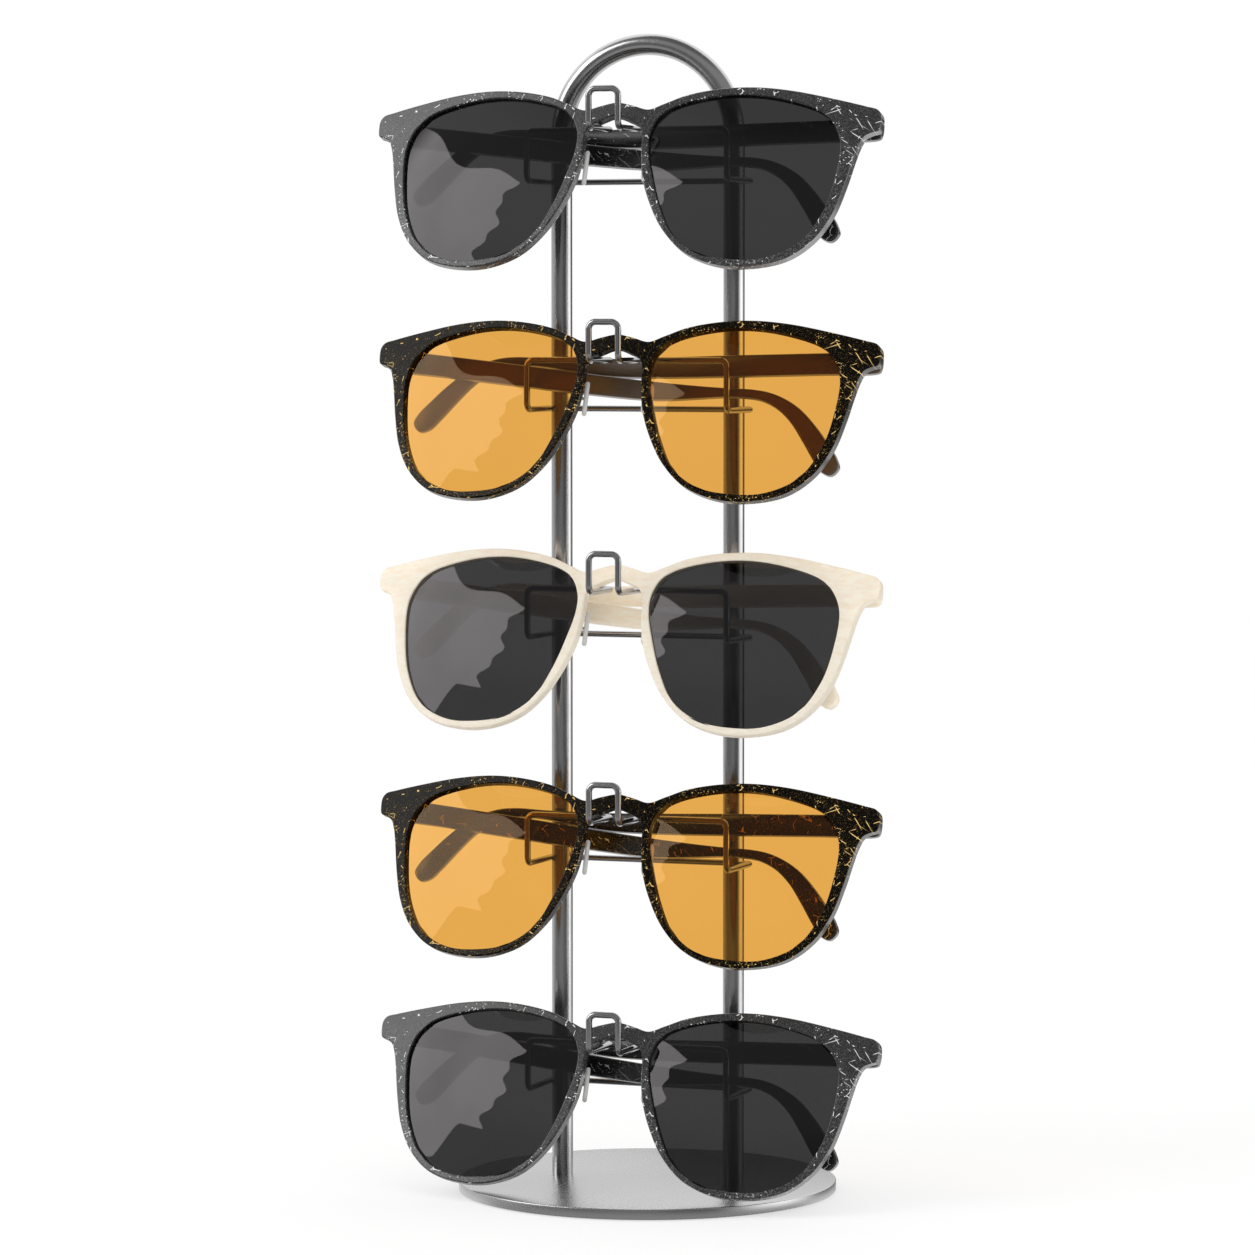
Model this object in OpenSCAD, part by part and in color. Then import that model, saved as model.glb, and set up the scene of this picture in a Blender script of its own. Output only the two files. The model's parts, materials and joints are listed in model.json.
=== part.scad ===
// Rotating counter display for five pairs of sunglasses.
// Millimetres. Origin: centre of the underside, on the swivel axis. +Z is up and -Y is the front.
// A hidden swivel base carries a round disc, a rod bent into an inverted U, and five wire hangers.
// Each hanger holds one folded pair of sunglasses by its bridge. Left is the -X side.

/* [Base and swivel] */
// Radius of the turning disc
disc_r = 54; // [50:0.5:60]
// Height of the disc's top face above the counter
disc_top = 3.2; // [3.2:0.1:4.5]
// Thickness of the disc
disc_t = 1.5; // [1.5:0.1:1.5]
// Radius of the ground plate that stays still
ground_r = 50; // [46:0.5:50]
// Radius of the swivel rivet
rivet_r = 4; // [3:0.5:5]

/* [Hoop] */
// Radius of the bent rod
rod_r = 3; // [2.5:0.1:3.5]
// Distance between the centres of the two uprights
upright_gap = 52; // [50:0.5:54]
// Height of the hoop's highest point
hoop_top = 329.4; // [325:0.5:340]

/* [Hangers] */
// Radius of the hanger wire
wire_r = 0.9; // [0.7:0.1:1]
// Inside bends of the wire, measured to its centre
wire_bend = 2; // [1.5:0.1:2.2]
// Height of the lowest hanger's two arms
lowest_arm_z = 43.8; // [42:0.1:48]
// Height from one hanger to the next
level_pitch = 64.5; // [63:0.1:65]
// Distance of the nose loop in front of the uprights
loop_y = 35.8; // [34:0.1:38]
// Distance of the square frame in front of the uprights
frame_y = 17.45; // [17:0.05:17.5]
// Half the width of the nose loop
loop_x = 4.35; // [4:0.05:4.6]
// Height of the nose loop above the arms
loop_h = 10.8; // [10:0.1:12]
// Height of the square frame below the arms
frame_h = 14; // [13:0.1:15]

/* [Sunglasses] */
// Angle at which a hung front leans back at its top
lean = 19.5; // [19:0.1:20]
// Distance of the bridge's front face in front of the uprights
bridge_y = 27.3; // [27:0.1:28]
// Radius to which the front is curved
base_r = 330; // [320:5:340]
// Height of the middle of a hung bridge above the middle of the arms
rest_lift = 0.6; // [0.4:0.1:0.6]
// Thickness of the front
front_t = 3.4; // [3.2:0.1:3.6]
// Thickness of a lens
lens_t = 1.8; // [1.6:0.1:2]
// Thickness of a temple
temple_t = 2.8; // [2.4:0.1:2.8]
// Downward lean of the folded left temple
left_droop = 6.5; // [6:0.1:7]
// Downward lean of the folded right temple
right_droop = 0.8; // [0.4:0.1:1.2]
// Backward lean of the right temple, which lies over the left one
right_splay = 1.9; // [1.7:0.1:2]

/* [Hidden] */
$fn = 48;
LEVELS = [1, 2, 3, 4, 5];
RACK_NODES = ["ground_plate", "anti_slip_pad", "glide_ring", "pivot_rivet", "turntable_disc",
    "upright_hoop", "foot_screws"];
LEVEL_NODES = ["hanger", "front", "lens_left", "lens_right", "temple_left", "temple_right",
    "front_hinges", "temple_hinge_left", "temple_hinge_right", "nose_pads"];

// Base stack, from the counter up
pad_t = 0.5;
pad_outer_r = ground_r - 1;
pad_inner_r = 30;
ground_t = 0.8;
ground_top = pad_t + ground_t;
glide_inner_r = 36;
glide_outer_r = 47;
glide_gap = 0.05;
disc_under = disc_top - disc_t;
skirt_bottom = 0.3;
skirt_t = 1.5;
edge_break = 0.3;
rivet_running_gap = 0.06;
rivet_press_gap = 0.02;
rivet_bottom = 0.1;
rivet_flange_r = 8;
rivet_flange_t = 0.35;
rivet_top = disc_top - 0.6;

// Screws up through the disc into the feet of the hoop
screw_r = 1.5;
screw_depth = 9;
screw_head_r = 2.75;
screw_head_h = 1.25;
screw_socket_r = 0.9;
screw_socket_depth = 0.6;
small_gap = 0.02;

// Hoop and hangers
upright_x = upright_gap / 2;
spring_z = hoop_top - rod_r - upright_x;
side_x = upright_x + rod_r + wire_r;
crossbar_y = rod_r + wire_r;

// Sunglasses: the outline is drawn flat, x to the side and y up, from the middle of the bridge
curve_steps = 3;
groove_depth = 0.6;
lens_front = 0.9;
plate_depth = 26;
plate_h = 80;
lens_centre = [37.8, -14.2];

// Hinges: the pin runs up the folded temple's end, behind the endpiece
hinge_x = 70.1;
hinge_depth = 13.2;
hinge_v = 3.85;
barrel_r = 1.1;
pin_r = 0.55;
pin_gap = 0.05;
barrel_h = 1.4;
temple_near = 1.2;
leaf_w = 5.6;
leaf_h = 4.4;
leaf_t = 1.7;
leaf_back = 11.9;
temple_leaf_l = 7;
temple_leaf_t = 0.8;

// Nose pads on short bent arms
pad_arm_r = 0.45;
pad_arm_bend = 0.8;
pad_root = [10.2, -10];
pad_root_depth = 1.9;
pad_back = 5.9;
pad_reach = 1;
pad_splay = 22;
pad_w = 4;
pad_l = 10;
pad_thick = 1.3;

// Outline of the right half of the front, from the top of the bridge clockwise to its underside
FRONT_HALF = [
    [0, 7.2], [5, 6.2], [9.5, 5.1], [14, 6.8], [20.4, 9.4], [30, 11.4], [39.5, 12.1], [50, 11.5],
    [62, 9.7], [71, 8.1], [74.2, 7.4], [75.4, 6], [75.6, 3.6], [75.1, 1.3], [73.4, 0.6],
    [71.4, -0.6], [70, -3.6], [68.9, -8], [67.3, -15.5], [64.8, -24], [60.5, -31.5],
    [53.5, -37.4], [44, -40.2], [34, -40.2], [24.5, -36.8], [17.5, -30.2], [12.8, -22.2],
    [10, -14.8], [8.8, -7.5], [8.4, -2], [7.3, 0.2], [4.4, 1.7], [0, 3.2]
];

// Outline of the right lens opening
OPENING = [
    [64.4, -14.2], [64.9, -3], [62, 3], [58, 6], [47.3, 8.9], [37.8, 9.8], [28.1, 9], [17.4, 6.1],
    [13.2, 3.3], [10.9, -1.5], [10.8, -6.6], [12.7, -14.2], [15.9, -23.3], [20.5, -31.5],
    [28.4, -36.9], [37.8, -38.5], [47.5, -37.7], [56.5, -32.9], [61.9, -24.2]
];

// Side outline of a temple: x along it from the hinge pin, y up
TEMPLE = [
    [-3, 2.8], [-2.2, 3.3], [6.5, 3.4], [40, 3.4], [74, 3.2], [90, 3.5], [99, 3.9], [107, 4.4],
    [112, 4.1], [117, 2.8], [122, 0.4], [127.5, -3.9], [132, -8.3], [135.5, -12.1],
    [136.8, -15], [135, -17.5], [131.9, -16.8], [128.9, -13.8], [124.5, -8.7], [119.8, -3.7],
    [115, -0.3], [110, 1.5], [105.3, 1.8], [99, 1.3], [90.4, -0.2], [82, -1.6], [74.6, -2.3],
    [60, -2.7], [15, -2.8], [-2.2, -2.7], [-3, -2.1]
];

function level_z(level) = lowest_arm_z + (len(LEVELS) - level) * level_pitch;
function arm_height(level) = level_z(level);

// Smooth closed curve through the given points, with evenly flowing tangents
function knot(a, b) = sqrt(norm(b - a));
function hermite(p1, m1, p2, m2, t) =
    (2 * t^3 - 3 * t^2 + 1) * p1 + (t^3 - 2 * t^2 + t) * m1
    + (3 * t^2 - 2 * t^3) * p2 + (t^3 - t^2) * m2;
function curve_span(p0, p1, p2, p3) =
    let (
        a = knot(p0, p1),
        b = knot(p1, p2),
        c = knot(p2, p3),
        m1 = b * ((p1 - p0) / a - (p2 - p0) / (a + b) + (p2 - p1) / b),
        m2 = b * ((p2 - p1) / b - (p3 - p1) / (b + c) + (p3 - p2) / c)
    )
    [for (i = [0:curve_steps - 1]) hermite(p1, m1, p2, m2, i / curve_steps)];
function smooth_loop(points) =
    let (n = len(points))
    [for (i = [0:n - 1])
        each curve_span(points[(i + n - 1) % n], points[i], points[(i + 1) % n], points[(i + 2) % n])];

// A flat outline laid over the curved front keeps its length along the curve
function over_curve(points) = [for (p = points) [base_r * sin(p[0] / base_r * 180 / PI), p[1]]];
function grown(points, centre, margin) =
    [for (p = points) p + margin * (p - centre) / norm(p - centre)];
function mirrored(points) = [for (p = points) [-p[0], p[1]]];
function whole_front() =
    let (
        last = len(FRONT_HALF) - 1,
        left_half = [for (i = [last - 1:-1:1]) [-FRONT_HALF[i][0], FRONT_HALF[i][1]]]
    )
    concat(FRONT_HALF, left_half);

// Local axes for wire: x_dir and y_dir are unit vectors at right angles
module placed(origin, x_dir, y_dir) {
    z_dir = cross(x_dir, y_dir);
    multmatrix([
        [x_dir[0], y_dir[0], z_dir[0], origin[0]],
        [x_dir[1], y_dir[1], z_dir[1], origin[1]],
        [x_dir[2], y_dir[2], z_dir[2], origin[2]]
    ])
        children();
}

// Round bar from one point to another, both on a line parallel to an axis
module bar(from, to, r) {
    along = (to - from) / norm(to - from);
    side = abs(along[0]) > 0.5 ? [0, 1, 0] : [1, 0, 0];
    placed(from, side, cross(along, side))
        cylinder(h = norm(to - from), r = r);
}

// Quarter bend at a corner that is entered along one direction and left along another
module elbow(corner, enter, leave, r, bend) {
    placed(corner - bend * enter + bend * leave, -leave, enter)
        rotate_extrude(angle = 90)
            translate([bend, 0])
                circle(r = r);
}

// Wire bent at right angles at each inner point
module bent_wire(points, r, bend, closed) {
    n = len(points);
    spans = closed ? n : n - 1;
    function direction(i) = (points[(i + 1) % n] - points[i % n]) / norm(points[(i + 1) % n] - points[i % n]);
    for (i = [0:spans - 1]) {
        start_trim = closed || i > 0 ? bend : 0;
        end_trim = closed || i < spans - 1 ? bend : 0;
        bar(points[i] + start_trim * direction(i), points[(i + 1) % n] - end_trim * direction(i), r);
    }
    for (i = [closed ? 0 : 1:spans - 1])
        elbow(points[i], direction(i + n - 1), direction(i), r, bend);
}

module anti_slip_pad() {
    color("black")
        difference() {
            cylinder(h = pad_t, r = pad_outer_r);
            translate([0, 0, -1])
                cylinder(h = pad_t + 2, r = pad_inner_r);
        }
}

module ground_plate() {
    color("dimgray")
        translate([0, 0, pad_t])
            difference() {
                cylinder(h = ground_t, r = ground_r);
                translate([0, 0, -1])
                    cylinder(h = ground_t + 2, r = rivet_r + rivet_running_gap);
            }
}

module glide_ring() {
    color("white")
        translate([0, 0, ground_top])
            difference() {
                cylinder(h = disc_under - ground_top - glide_gap, r = glide_outer_r);
                translate([0, 0, -1])
                    cylinder(h = 3, r = glide_inner_r);
            }
}

module pivot_rivet() {
    color("silver") {
        translate([0, 0, rivet_bottom])
            cylinder(h = rivet_top - rivet_bottom, r = rivet_r);
        translate([0, 0, rivet_bottom])
            cylinder(h = rivet_flange_t, r = rivet_flange_r);
    }
}

module foot_hole() {
    cylinder(h = 3 * disc_t, r = screw_r + 2 * small_gap, center = true);
    translate([0, 0, -1 - disc_t])
        cylinder(h = 1 + disc_t - screw_head_h, r = screw_head_r + small_gap);
    translate([0, 0, -screw_head_h - small_gap])
        cylinder(h = screw_head_h, r1 = screw_head_r + small_gap, r2 = screw_r + small_gap);
}

module turntable_disc() {
    color("darkgray")
        difference() {
            union() {
                translate([0, 0, skirt_bottom])
                    cylinder(h = disc_top - skirt_bottom - edge_break, r = disc_r);
                translate([0, 0, disc_top - edge_break])
                    cylinder(h = edge_break, r1 = disc_r, r2 = disc_r - edge_break);
            }
            cylinder(h = disc_under, r = disc_r - skirt_t);
            cylinder(h = rivet_top + small_gap, r = rivet_r + rivet_press_gap);
            for (side = [-1, 1])
                translate([side * upright_x, 0, disc_top])
                    foot_hole();
        }
}

module upright_hoop() {
    color("gray")
        difference() {
            union() {
                for (side = [-1, 1])
                    translate([side * upright_x, 0, disc_top])
                        cylinder(h = spring_z - disc_top, r = rod_r);
                translate([0, 0, spring_z])
                    rotate([90, 0, 0])
                        rotate_extrude(angle = 180)
                            translate([upright_x, 0])
                                circle(r = rod_r);
            }
            for (side = [-1, 1])
                translate([side * upright_x, 0, disc_top - 1])
                    cylinder(h = screw_depth + 2, r = screw_r + small_gap);
        }
}

module foot_screws() {
    color("silver")
        for (side = [-1, 1])
            translate([side * upright_x, 0, disc_top])
                difference() {
                    union() {
                        translate([0, 0, -2 * small_gap])
                            cylinder(h = screw_depth, r = screw_r);
                        translate([0, 0, -screw_head_h - 2 * small_gap])
                            cylinder(h = screw_head_h, r1 = screw_head_r, r2 = screw_r);
                    }
                    translate([0, 0, -screw_head_h - 1])
                        cylinder(h = 1 + screw_socket_depth, r = screw_socket_r, $fn = 6);
                }
}

// One closed wire: nose loop, arms, square frame, sides past the uprights, bar behind them
module hanger(level) {
    half = [
        [loop_x, -loop_y, loop_h],
        [loop_x, -loop_y, 0],
        [loop_x, -frame_y, 0],
        [side_x, -frame_y, 0],
        [side_x, -frame_y, -frame_h],
        [side_x, crossbar_y, -frame_h]
    ];
    other_half = [for (i = [len(half) - 1:-1:0]) [-half[i][0], half[i][1], half[i][2]]];
    color("gray")
        translate([0, 0, arm_height(level)])
            bent_wire(concat(half, other_half), wire_r, wire_bend, true);
}

// Frame of a hung pair: x to the right, y through the front towards the rack, z up the front
module hung(level) {
    translate([0, -bridge_y, arm_height(level) + rest_lift])
        rotate([-lean, 0, 0])
            children();
}

// Solid block with the given outline, cut right through the curved front
module plate(points) {
    translate([0, plate_depth, 0])
        rotate([90, 0, 0])
            linear_extrude(height = plate_depth + 2)
                polygon(points);
}

// Curved layer between two depths behind the front face
module layer(near, far) {
    translate([0, base_r, -plate_h / 2 - 14])
        difference() {
            cylinder(h = plate_h, r = base_r - near, $fn = 256);
            translate([0, 0, -1])
                cylinder(h = plate_h + 2, r = base_r - far, $fn = 256);
        }
}

module lens_shape(side, margin, near, far) {
    outline = over_curve(smooth_loop(grown(OPENING, lens_centre, margin)));
    intersection() {
        plate(side > 0 ? outline : mirrored(outline));
        layer(near, far);
    }
}

// Frame of a hinge, built for the left side: x along the folded temple, z along the pin
module at_hinge(droop, splay) {
    translate([-hinge_x, hinge_depth, hinge_v])
        rotate([0, droop, 0])
            rotate([0, 0, splay])
                children();
}

module on_side(side) {
    if (side < 0)
        at_hinge(left_droop, 0)
            children();
    else
        mirror([1, 0, 0])
            at_hinge(right_droop, right_splay)
                children();
}

// Frame of a hinge's fixed half, which does not follow the temple's splay
module on_front(side) {
    if (side < 0)
        at_hinge(left_droop, 0)
            children();
    else
        mirror([1, 0, 0])
            at_hinge(right_droop, 0)
                children();
}

module front_leaf_block(gap) {
    translate([-leaf_w / 2 - gap, leaf_back - leaf_t - hinge_depth - gap, -leaf_h / 2 - gap])
        cube([leaf_w + 2 * gap, leaf_t + 2 * gap, leaf_h + 2 * gap]);
}

module front(level) {
    acetate = level == 3 ? "ivory" : level % 2 == 0 ? "saddlebrown" : "darkslategray";
    color(acetate)
        hung(level)
            difference() {
                intersection() {
                    plate(over_curve(smooth_loop(whole_front())));
                    layer(0, front_t);
                }
                for (side = [-1, 1]) {
                    lens_shape(side, 0, -1, front_t + 1);
                    lens_shape(side, groove_depth + small_gap, lens_front - small_gap,
                        lens_front + lens_t + small_gap);
                    on_front(side)
                        front_leaf_block(small_gap);
                    translate([side * pad_root[0], pad_root_depth - small_gap, pad_root[1]])
                        rotate([-90, 0, 0])
                            cylinder(h = front_t, r = pad_arm_r + small_gap);
                }
            }
}

module lens(level, side) {
    tint = level % 2 == 0 ? "orange" : "dimgray";
    color(tint)
        hung(level)
            lens_shape(side, groove_depth, lens_front, lens_front + lens_t);
}

// Temple without its leaf pocket, in the hinge frame
module temple_blade() {
    translate([0, temple_near + temple_t, 0])
        rotate([90, 0, 0])
            linear_extrude(height = temple_t)
                polygon(smooth_loop(TEMPLE));
}

module temple_leaf_block(gap) {
    translate([-gap, temple_near - gap, -barrel_h / 2 - 1 - gap])
        cube([temple_leaf_l + 2 * gap, temple_leaf_t + 2 * gap, barrel_h + 2 + 2 * gap]);
}

module temple(level, side) {
    acetate = level == 3 ? "ivory" : level % 2 == 0 ? "saddlebrown" : "darkslategray";
    color(acetate)
        hung(level)
            on_side(side)
                difference() {
                    temple_blade();
                    temple_leaf_block(small_gap);
                }
}

// Middle barrel with its leaf, let into the temple's inner face
module temple_hinge(level, side) {
    color("silver")
        hung(level)
            on_side(side)
                difference() {
                    union() {
                        cylinder(h = barrel_h, r = barrel_r, center = true);
                        translate([0, 0, -barrel_h / 2])
                            cube([barrel_r, temple_near + temple_leaf_t / 2, barrel_h]);
                        temple_leaf_block(0);
                    }
                    cylinder(h = 3 * barrel_h, r = pin_r + pin_gap, center = true);
                }
}

// Outer barrels with the pin and leaf, let into the back of each endpiece
module front_hinges(level) {
    color("silver")
        hung(level)
            for (side = [-1, 1])
                on_front(side) {
                    for (end = [-1, 1])
                        translate([0, 0, end * (barrel_h + 2 * pin_gap)])
                            cylinder(h = barrel_h, r = barrel_r, center = true);
                    cylinder(h = 3 * barrel_h + 4 * pin_gap, r = pin_r, center = true);
                    difference() {
                        front_leaf_block(0);
                        cylinder(h = barrel_h + 2 * pin_gap, r = barrel_r + 3 * pin_gap, center = true);
                    }
                    for (end = [-1, 1])
                        translate([-barrel_r, leaf_back - hinge_depth - leaf_t / 2,
                            end * (barrel_h + 2 * pin_gap) - barrel_h / 2])
                            cube([2 * barrel_r, hinge_depth - leaf_back + leaf_t / 2, barrel_h]);
                }
}

module nose_pad_right() {
    x = pad_root[0];
    v = pad_root[1];
    bent_wire([[x, pad_root_depth, v], [x, pad_back, v], [x - pad_reach, pad_back, v]],
        pad_arm_r, pad_arm_bend, false);
    translate([x - pad_reach, pad_back, v])
        rotate([0, 0, -pad_splay])
            rotate([0, 90, 0])
                for (end = [-1, 0, 1])
                    translate([end * (pad_l - pad_w) / 2, 0, 0])
                        if (end == 0)
                            cube([pad_l - pad_w, pad_w, pad_thick], center = true);
                        else
                            cylinder(h = pad_thick, r = pad_w / 2, center = true);
}

module nose_pads(level) {
    color("gainsboro")
        hung(level) {
            nose_pad_right();
            mirror([1, 0, 0])
                nose_pad_right();
        }
}

ground_plate();
anti_slip_pad();
glide_ring();
pivot_rivet();
turntable_disc();
upright_hoop();
foot_screws();
for (level = LEVELS) {
    hanger(level);
    front(level);
    lens(level, -1);
    lens(level, 1);
    temple(level, -1);
    temple(level, 1);
    front_hinges(level);
    temple_hinge(level, -1);
    temple_hinge(level, 1);
    nose_pads(level);
}
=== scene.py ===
"""Looks of a rotating counter rack with five hung pairs of sunglasses."""
import json
import math

import bmesh
import bpy
import numpy as np
from mathutils import Matrix, Vector
from mathutils.geometry import delaunay_2d_cdt


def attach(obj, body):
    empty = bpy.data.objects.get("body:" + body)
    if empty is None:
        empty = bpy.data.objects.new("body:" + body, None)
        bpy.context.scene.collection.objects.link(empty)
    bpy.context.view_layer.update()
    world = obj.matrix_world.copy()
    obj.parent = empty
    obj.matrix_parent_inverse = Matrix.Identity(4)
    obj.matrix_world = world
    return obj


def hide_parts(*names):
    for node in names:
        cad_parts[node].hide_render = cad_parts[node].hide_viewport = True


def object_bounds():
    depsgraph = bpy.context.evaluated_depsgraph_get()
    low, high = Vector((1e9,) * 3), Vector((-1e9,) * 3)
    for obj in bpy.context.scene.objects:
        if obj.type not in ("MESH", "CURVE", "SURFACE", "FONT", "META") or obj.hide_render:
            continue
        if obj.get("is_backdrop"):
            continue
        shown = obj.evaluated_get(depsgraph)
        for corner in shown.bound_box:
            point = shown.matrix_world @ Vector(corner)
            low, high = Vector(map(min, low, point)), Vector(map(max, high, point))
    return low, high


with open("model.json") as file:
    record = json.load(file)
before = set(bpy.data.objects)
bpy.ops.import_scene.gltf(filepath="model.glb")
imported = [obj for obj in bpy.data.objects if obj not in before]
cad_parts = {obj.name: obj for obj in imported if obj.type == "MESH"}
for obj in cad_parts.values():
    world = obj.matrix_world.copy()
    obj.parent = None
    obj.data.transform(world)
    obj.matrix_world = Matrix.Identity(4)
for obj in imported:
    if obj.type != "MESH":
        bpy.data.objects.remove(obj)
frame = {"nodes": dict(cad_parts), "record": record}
cad_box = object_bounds()
MM = 0.001
LEVELS = (1, 2, 3, 4, 5)

# ---------------------------------------------------------------- dimensions, as in the CAD
# lengths are in millimetres; LEAN and PAD_SPLAY are in radians, DROOP and SPLAY in degrees
LOWEST_ARM_Z, LEVEL_PITCH = 43.8, 64.5
LEAN = math.radians(19.5)
BRIDGE_Y, REST_LIFT = 27.3, 0.6
BASE_R, FRONT_T = 330.0, 3.4
LENS_DEPTH, LENS_T = 0.9, 1.8
LENS_CENTRE = (37.8, -14.2)
LENS_GROOVE = 0.55
HINGE = (70.1, 13.2, 3.85)
DROOP = {"left": 6.5, "right": 0.8}
SPLAY = {"left": 0.0, "right": 1.9}
# the pairs hang slightly differently, which shows in what their lenses mirror: forward tip, in radians
LENS_TIP = {1: -0.0375, 2: 0.0, 3: 0.012, 4: 0.0, 5: 0.0}
TEMPLE_NEAR, TEMPLE_T = 1.2, 2.8
PAD_ROOT, PAD_ROOT_DEPTH, PAD_BACK, PAD_REACH = (10.2, -10.0), 1.9, 5.9, 1.0
PAD_SPLAY = math.radians(22)
PAD_W, PAD_L, PAD_T = 4.0, 10.0, 1.3
PAD_ARM_R, PAD_ARM_BEND = 0.45, 0.8
ROD_R, UPRIGHT_X, HOOP_TOP = 3.0, 26.0, 329.4
WIRE_R, WIRE_BEND = 0.9, 2.0
LOOP_X, LOOP_Y, LOOP_H = 4.35, 35.8, 10.8
FRAME_Y, FRAME_H, SIDE_X = 17.45, 14.0, 29.9
DISC_R, DISC_TOP, DISC_UNDER = 54.0, 3.2, 1.7
SKIRT_INNER_R, SKIRT_BOTTOM = 52.5, 0.3
RIVET_HOLE_R, RIVET_TOP = 4.02, 2.62
# rounding of the edges; a pair is for the front and the back edge
FRONT_EDGE, OPENING_EDGE = (0.45, 0.6), (0.3, 0.5)
TEMPLE_EDGE, PAD_EDGE, DISC_EDGE, SKIRT_EDGE = 0.8, 0.6, 0.35, 0.2

FRONT_HALF = [
    (0, 7.2), (5, 6.2), (9.5, 5.1), (14, 6.8), (20.4, 9.4), (30, 11.4), (39.5, 12.1), (50, 11.5),
    (62, 9.7), (71, 8.1), (74.2, 7.4), (75.4, 6), (75.6, 3.6), (75.1, 1.3), (73.4, 0.6),
    (71.4, -0.6), (70, -3.6), (68.9, -8), (67.3, -15.5), (64.8, -24), (60.5, -31.5),
    (53.5, -37.4), (44, -40.2), (34, -40.2), (24.5, -36.8), (17.5, -30.2), (12.8, -22.2),
    (10, -14.8), (8.8, -7.5), (8.4, -2), (7.3, 0.2), (4.4, 1.7), (0, 3.2),
]
OPENING = [
    (64.4, -14.2), (64.9, -3), (62, 3), (58, 6), (47.3, 8.9), (37.8, 9.8), (28.1, 9), (17.4, 6.1),
    (13.2, 3.3), (10.9, -1.5), (10.8, -6.6), (12.7, -14.2), (15.9, -23.3), (20.5, -31.5),
    (28.4, -36.9), (37.8, -38.5), (47.5, -37.7), (56.5, -32.9), (61.9, -24.2),
]
TEMPLE = [
    (-3, 2.8), (-2.2, 3.3), (6.5, 3.4), (40, 3.4), (74, 3.2), (90, 3.5), (99, 3.9), (107, 4.4),
    (112, 4.1), (117, 2.8), (122, 0.4), (127.5, -3.9), (132, -8.3), (135.5, -12.1),
    (136.8, -15), (135, -17.5), (131.9, -16.8), (128.9, -13.8), (124.5, -8.7), (119.8, -3.7),
    (115, -0.3), (110, 1.5), (105.3, 1.8), (99, 1.3), (90.4, -0.2), (82, -1.6), (74.6, -2.3),
    (60, -2.7), (15, -2.8), (-2.2, -2.7), (-3, -2.1),
]


def level_z(level):
    """Height of a hanger's arms."""
    return LOWEST_ARM_Z + (len(LEVELS) - level) * LEVEL_PITCH


# ---------------------------------------------------------------- outlines
def smooth_loop(points, spacing=0.5):
    """Closed centripetal curve through the points, in even steps."""
    pts = [np.array(p, float) for p in points]
    count = len(pts)
    out = []
    for i in range(count):
        p0, p1, p2, p3 = (pts[(i + k) % count] for k in (-1, 0, 1, 2))
        a, b, c = (math.sqrt(np.linalg.norm(q - p)) for p, q in ((p0, p1), (p1, p2), (p2, p3)))
        m1 = b * ((p1 - p0) / a - (p2 - p0) / (a + b) + (p2 - p1) / b)
        m2 = b * ((p2 - p1) / b - (p3 - p1) / (b + c) + (p3 - p2) / c)
        for t in np.linspace(0, 1, 24, endpoint=False):
            out.append((2 * t**3 - 3 * t**2 + 1) * p1 + (t**3 - 2 * t**2 + t) * m1
                       + (3 * t**2 - 2 * t**3) * p2 + (t**3 - t**2) * m2)
    out = np.array(out)
    closed = np.vstack([out, out[:1]])
    run = np.concatenate([[0], np.cumsum(np.linalg.norm(np.diff(closed, axis=0), axis=1))])
    steps = int(run[-1] / spacing)
    at = np.linspace(0, run[-1], steps, endpoint=False)
    return np.column_stack([np.interp(at, run, closed[:, k]) for k in (0, 1)])


def loop_normals(loop):
    """Unit normals that point out of the area a loop encloses."""
    along = np.roll(loop, -1, 0) - np.roll(loop, 1, 0)
    along /= np.linalg.norm(along, axis=1)[:, None]
    area = np.sum(loop[:, 0] * np.roll(loop[:, 1], -1) - np.roll(loop[:, 0], -1) * loop[:, 1])
    turn = 1 if area > 0 else -1
    return turn * np.column_stack([along[:, 1], -along[:, 0]])


def encloses(loop, point):
    """Whether a closed loop goes round a point."""
    x, y = loop[:, 0] - point[0], loop[:, 1] - point[1]
    x2, y2 = np.roll(x, -1), np.roll(y, -1)
    crossing = (y > 0) != (y2 > 0)
    where = x[crossing] - y[crossing] * (x2[crossing] - x[crossing]) / (y2[crossing] - y[crossing])
    return np.count_nonzero(where > 0) % 2 == 1


def whole_front():
    """Outline of the front, from its right half."""
    return FRONT_HALF + [(-x, y) for x, y in FRONT_HALF[-2:0:-1]]


# ---------------------------------------------------------------- meshes
def new_object(name, verts, faces, normals=None, scale=MM):
    """Smooth-shaded mesh object from points in millimetres, with its own normals if they are given."""
    mesh = bpy.data.meshes.new(name)
    mesh.from_pydata([tuple(np.array(v) * scale) for v in verts], [], faces)
    mesh.validate()
    bm = bmesh.new()
    bm.from_mesh(mesh)
    bmesh.ops.recalc_face_normals(bm, faces=bm.faces)
    for face in bm.faces:
        face.smooth = True
    bm.to_mesh(mesh)
    bm.free()
    if normals is not None:
        mesh.normals_split_custom_set_from_vertices([tuple(n) for n in normals])
    obj = bpy.data.objects.new(name, mesh)
    bpy.context.scene.collection.objects.link(obj)
    return obj


def sharpen(obj, degrees=35):
    """Marks the edges that turn by more than an angle as sharp."""
    bm = bmesh.new()
    bm.from_mesh(obj.data)
    for edge in bm.edges:
        edge.smooth = edge.calc_face_angle(0) < math.radians(degrees)
    bm.to_mesh(obj.data)
    bm.free()
    return obj


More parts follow.
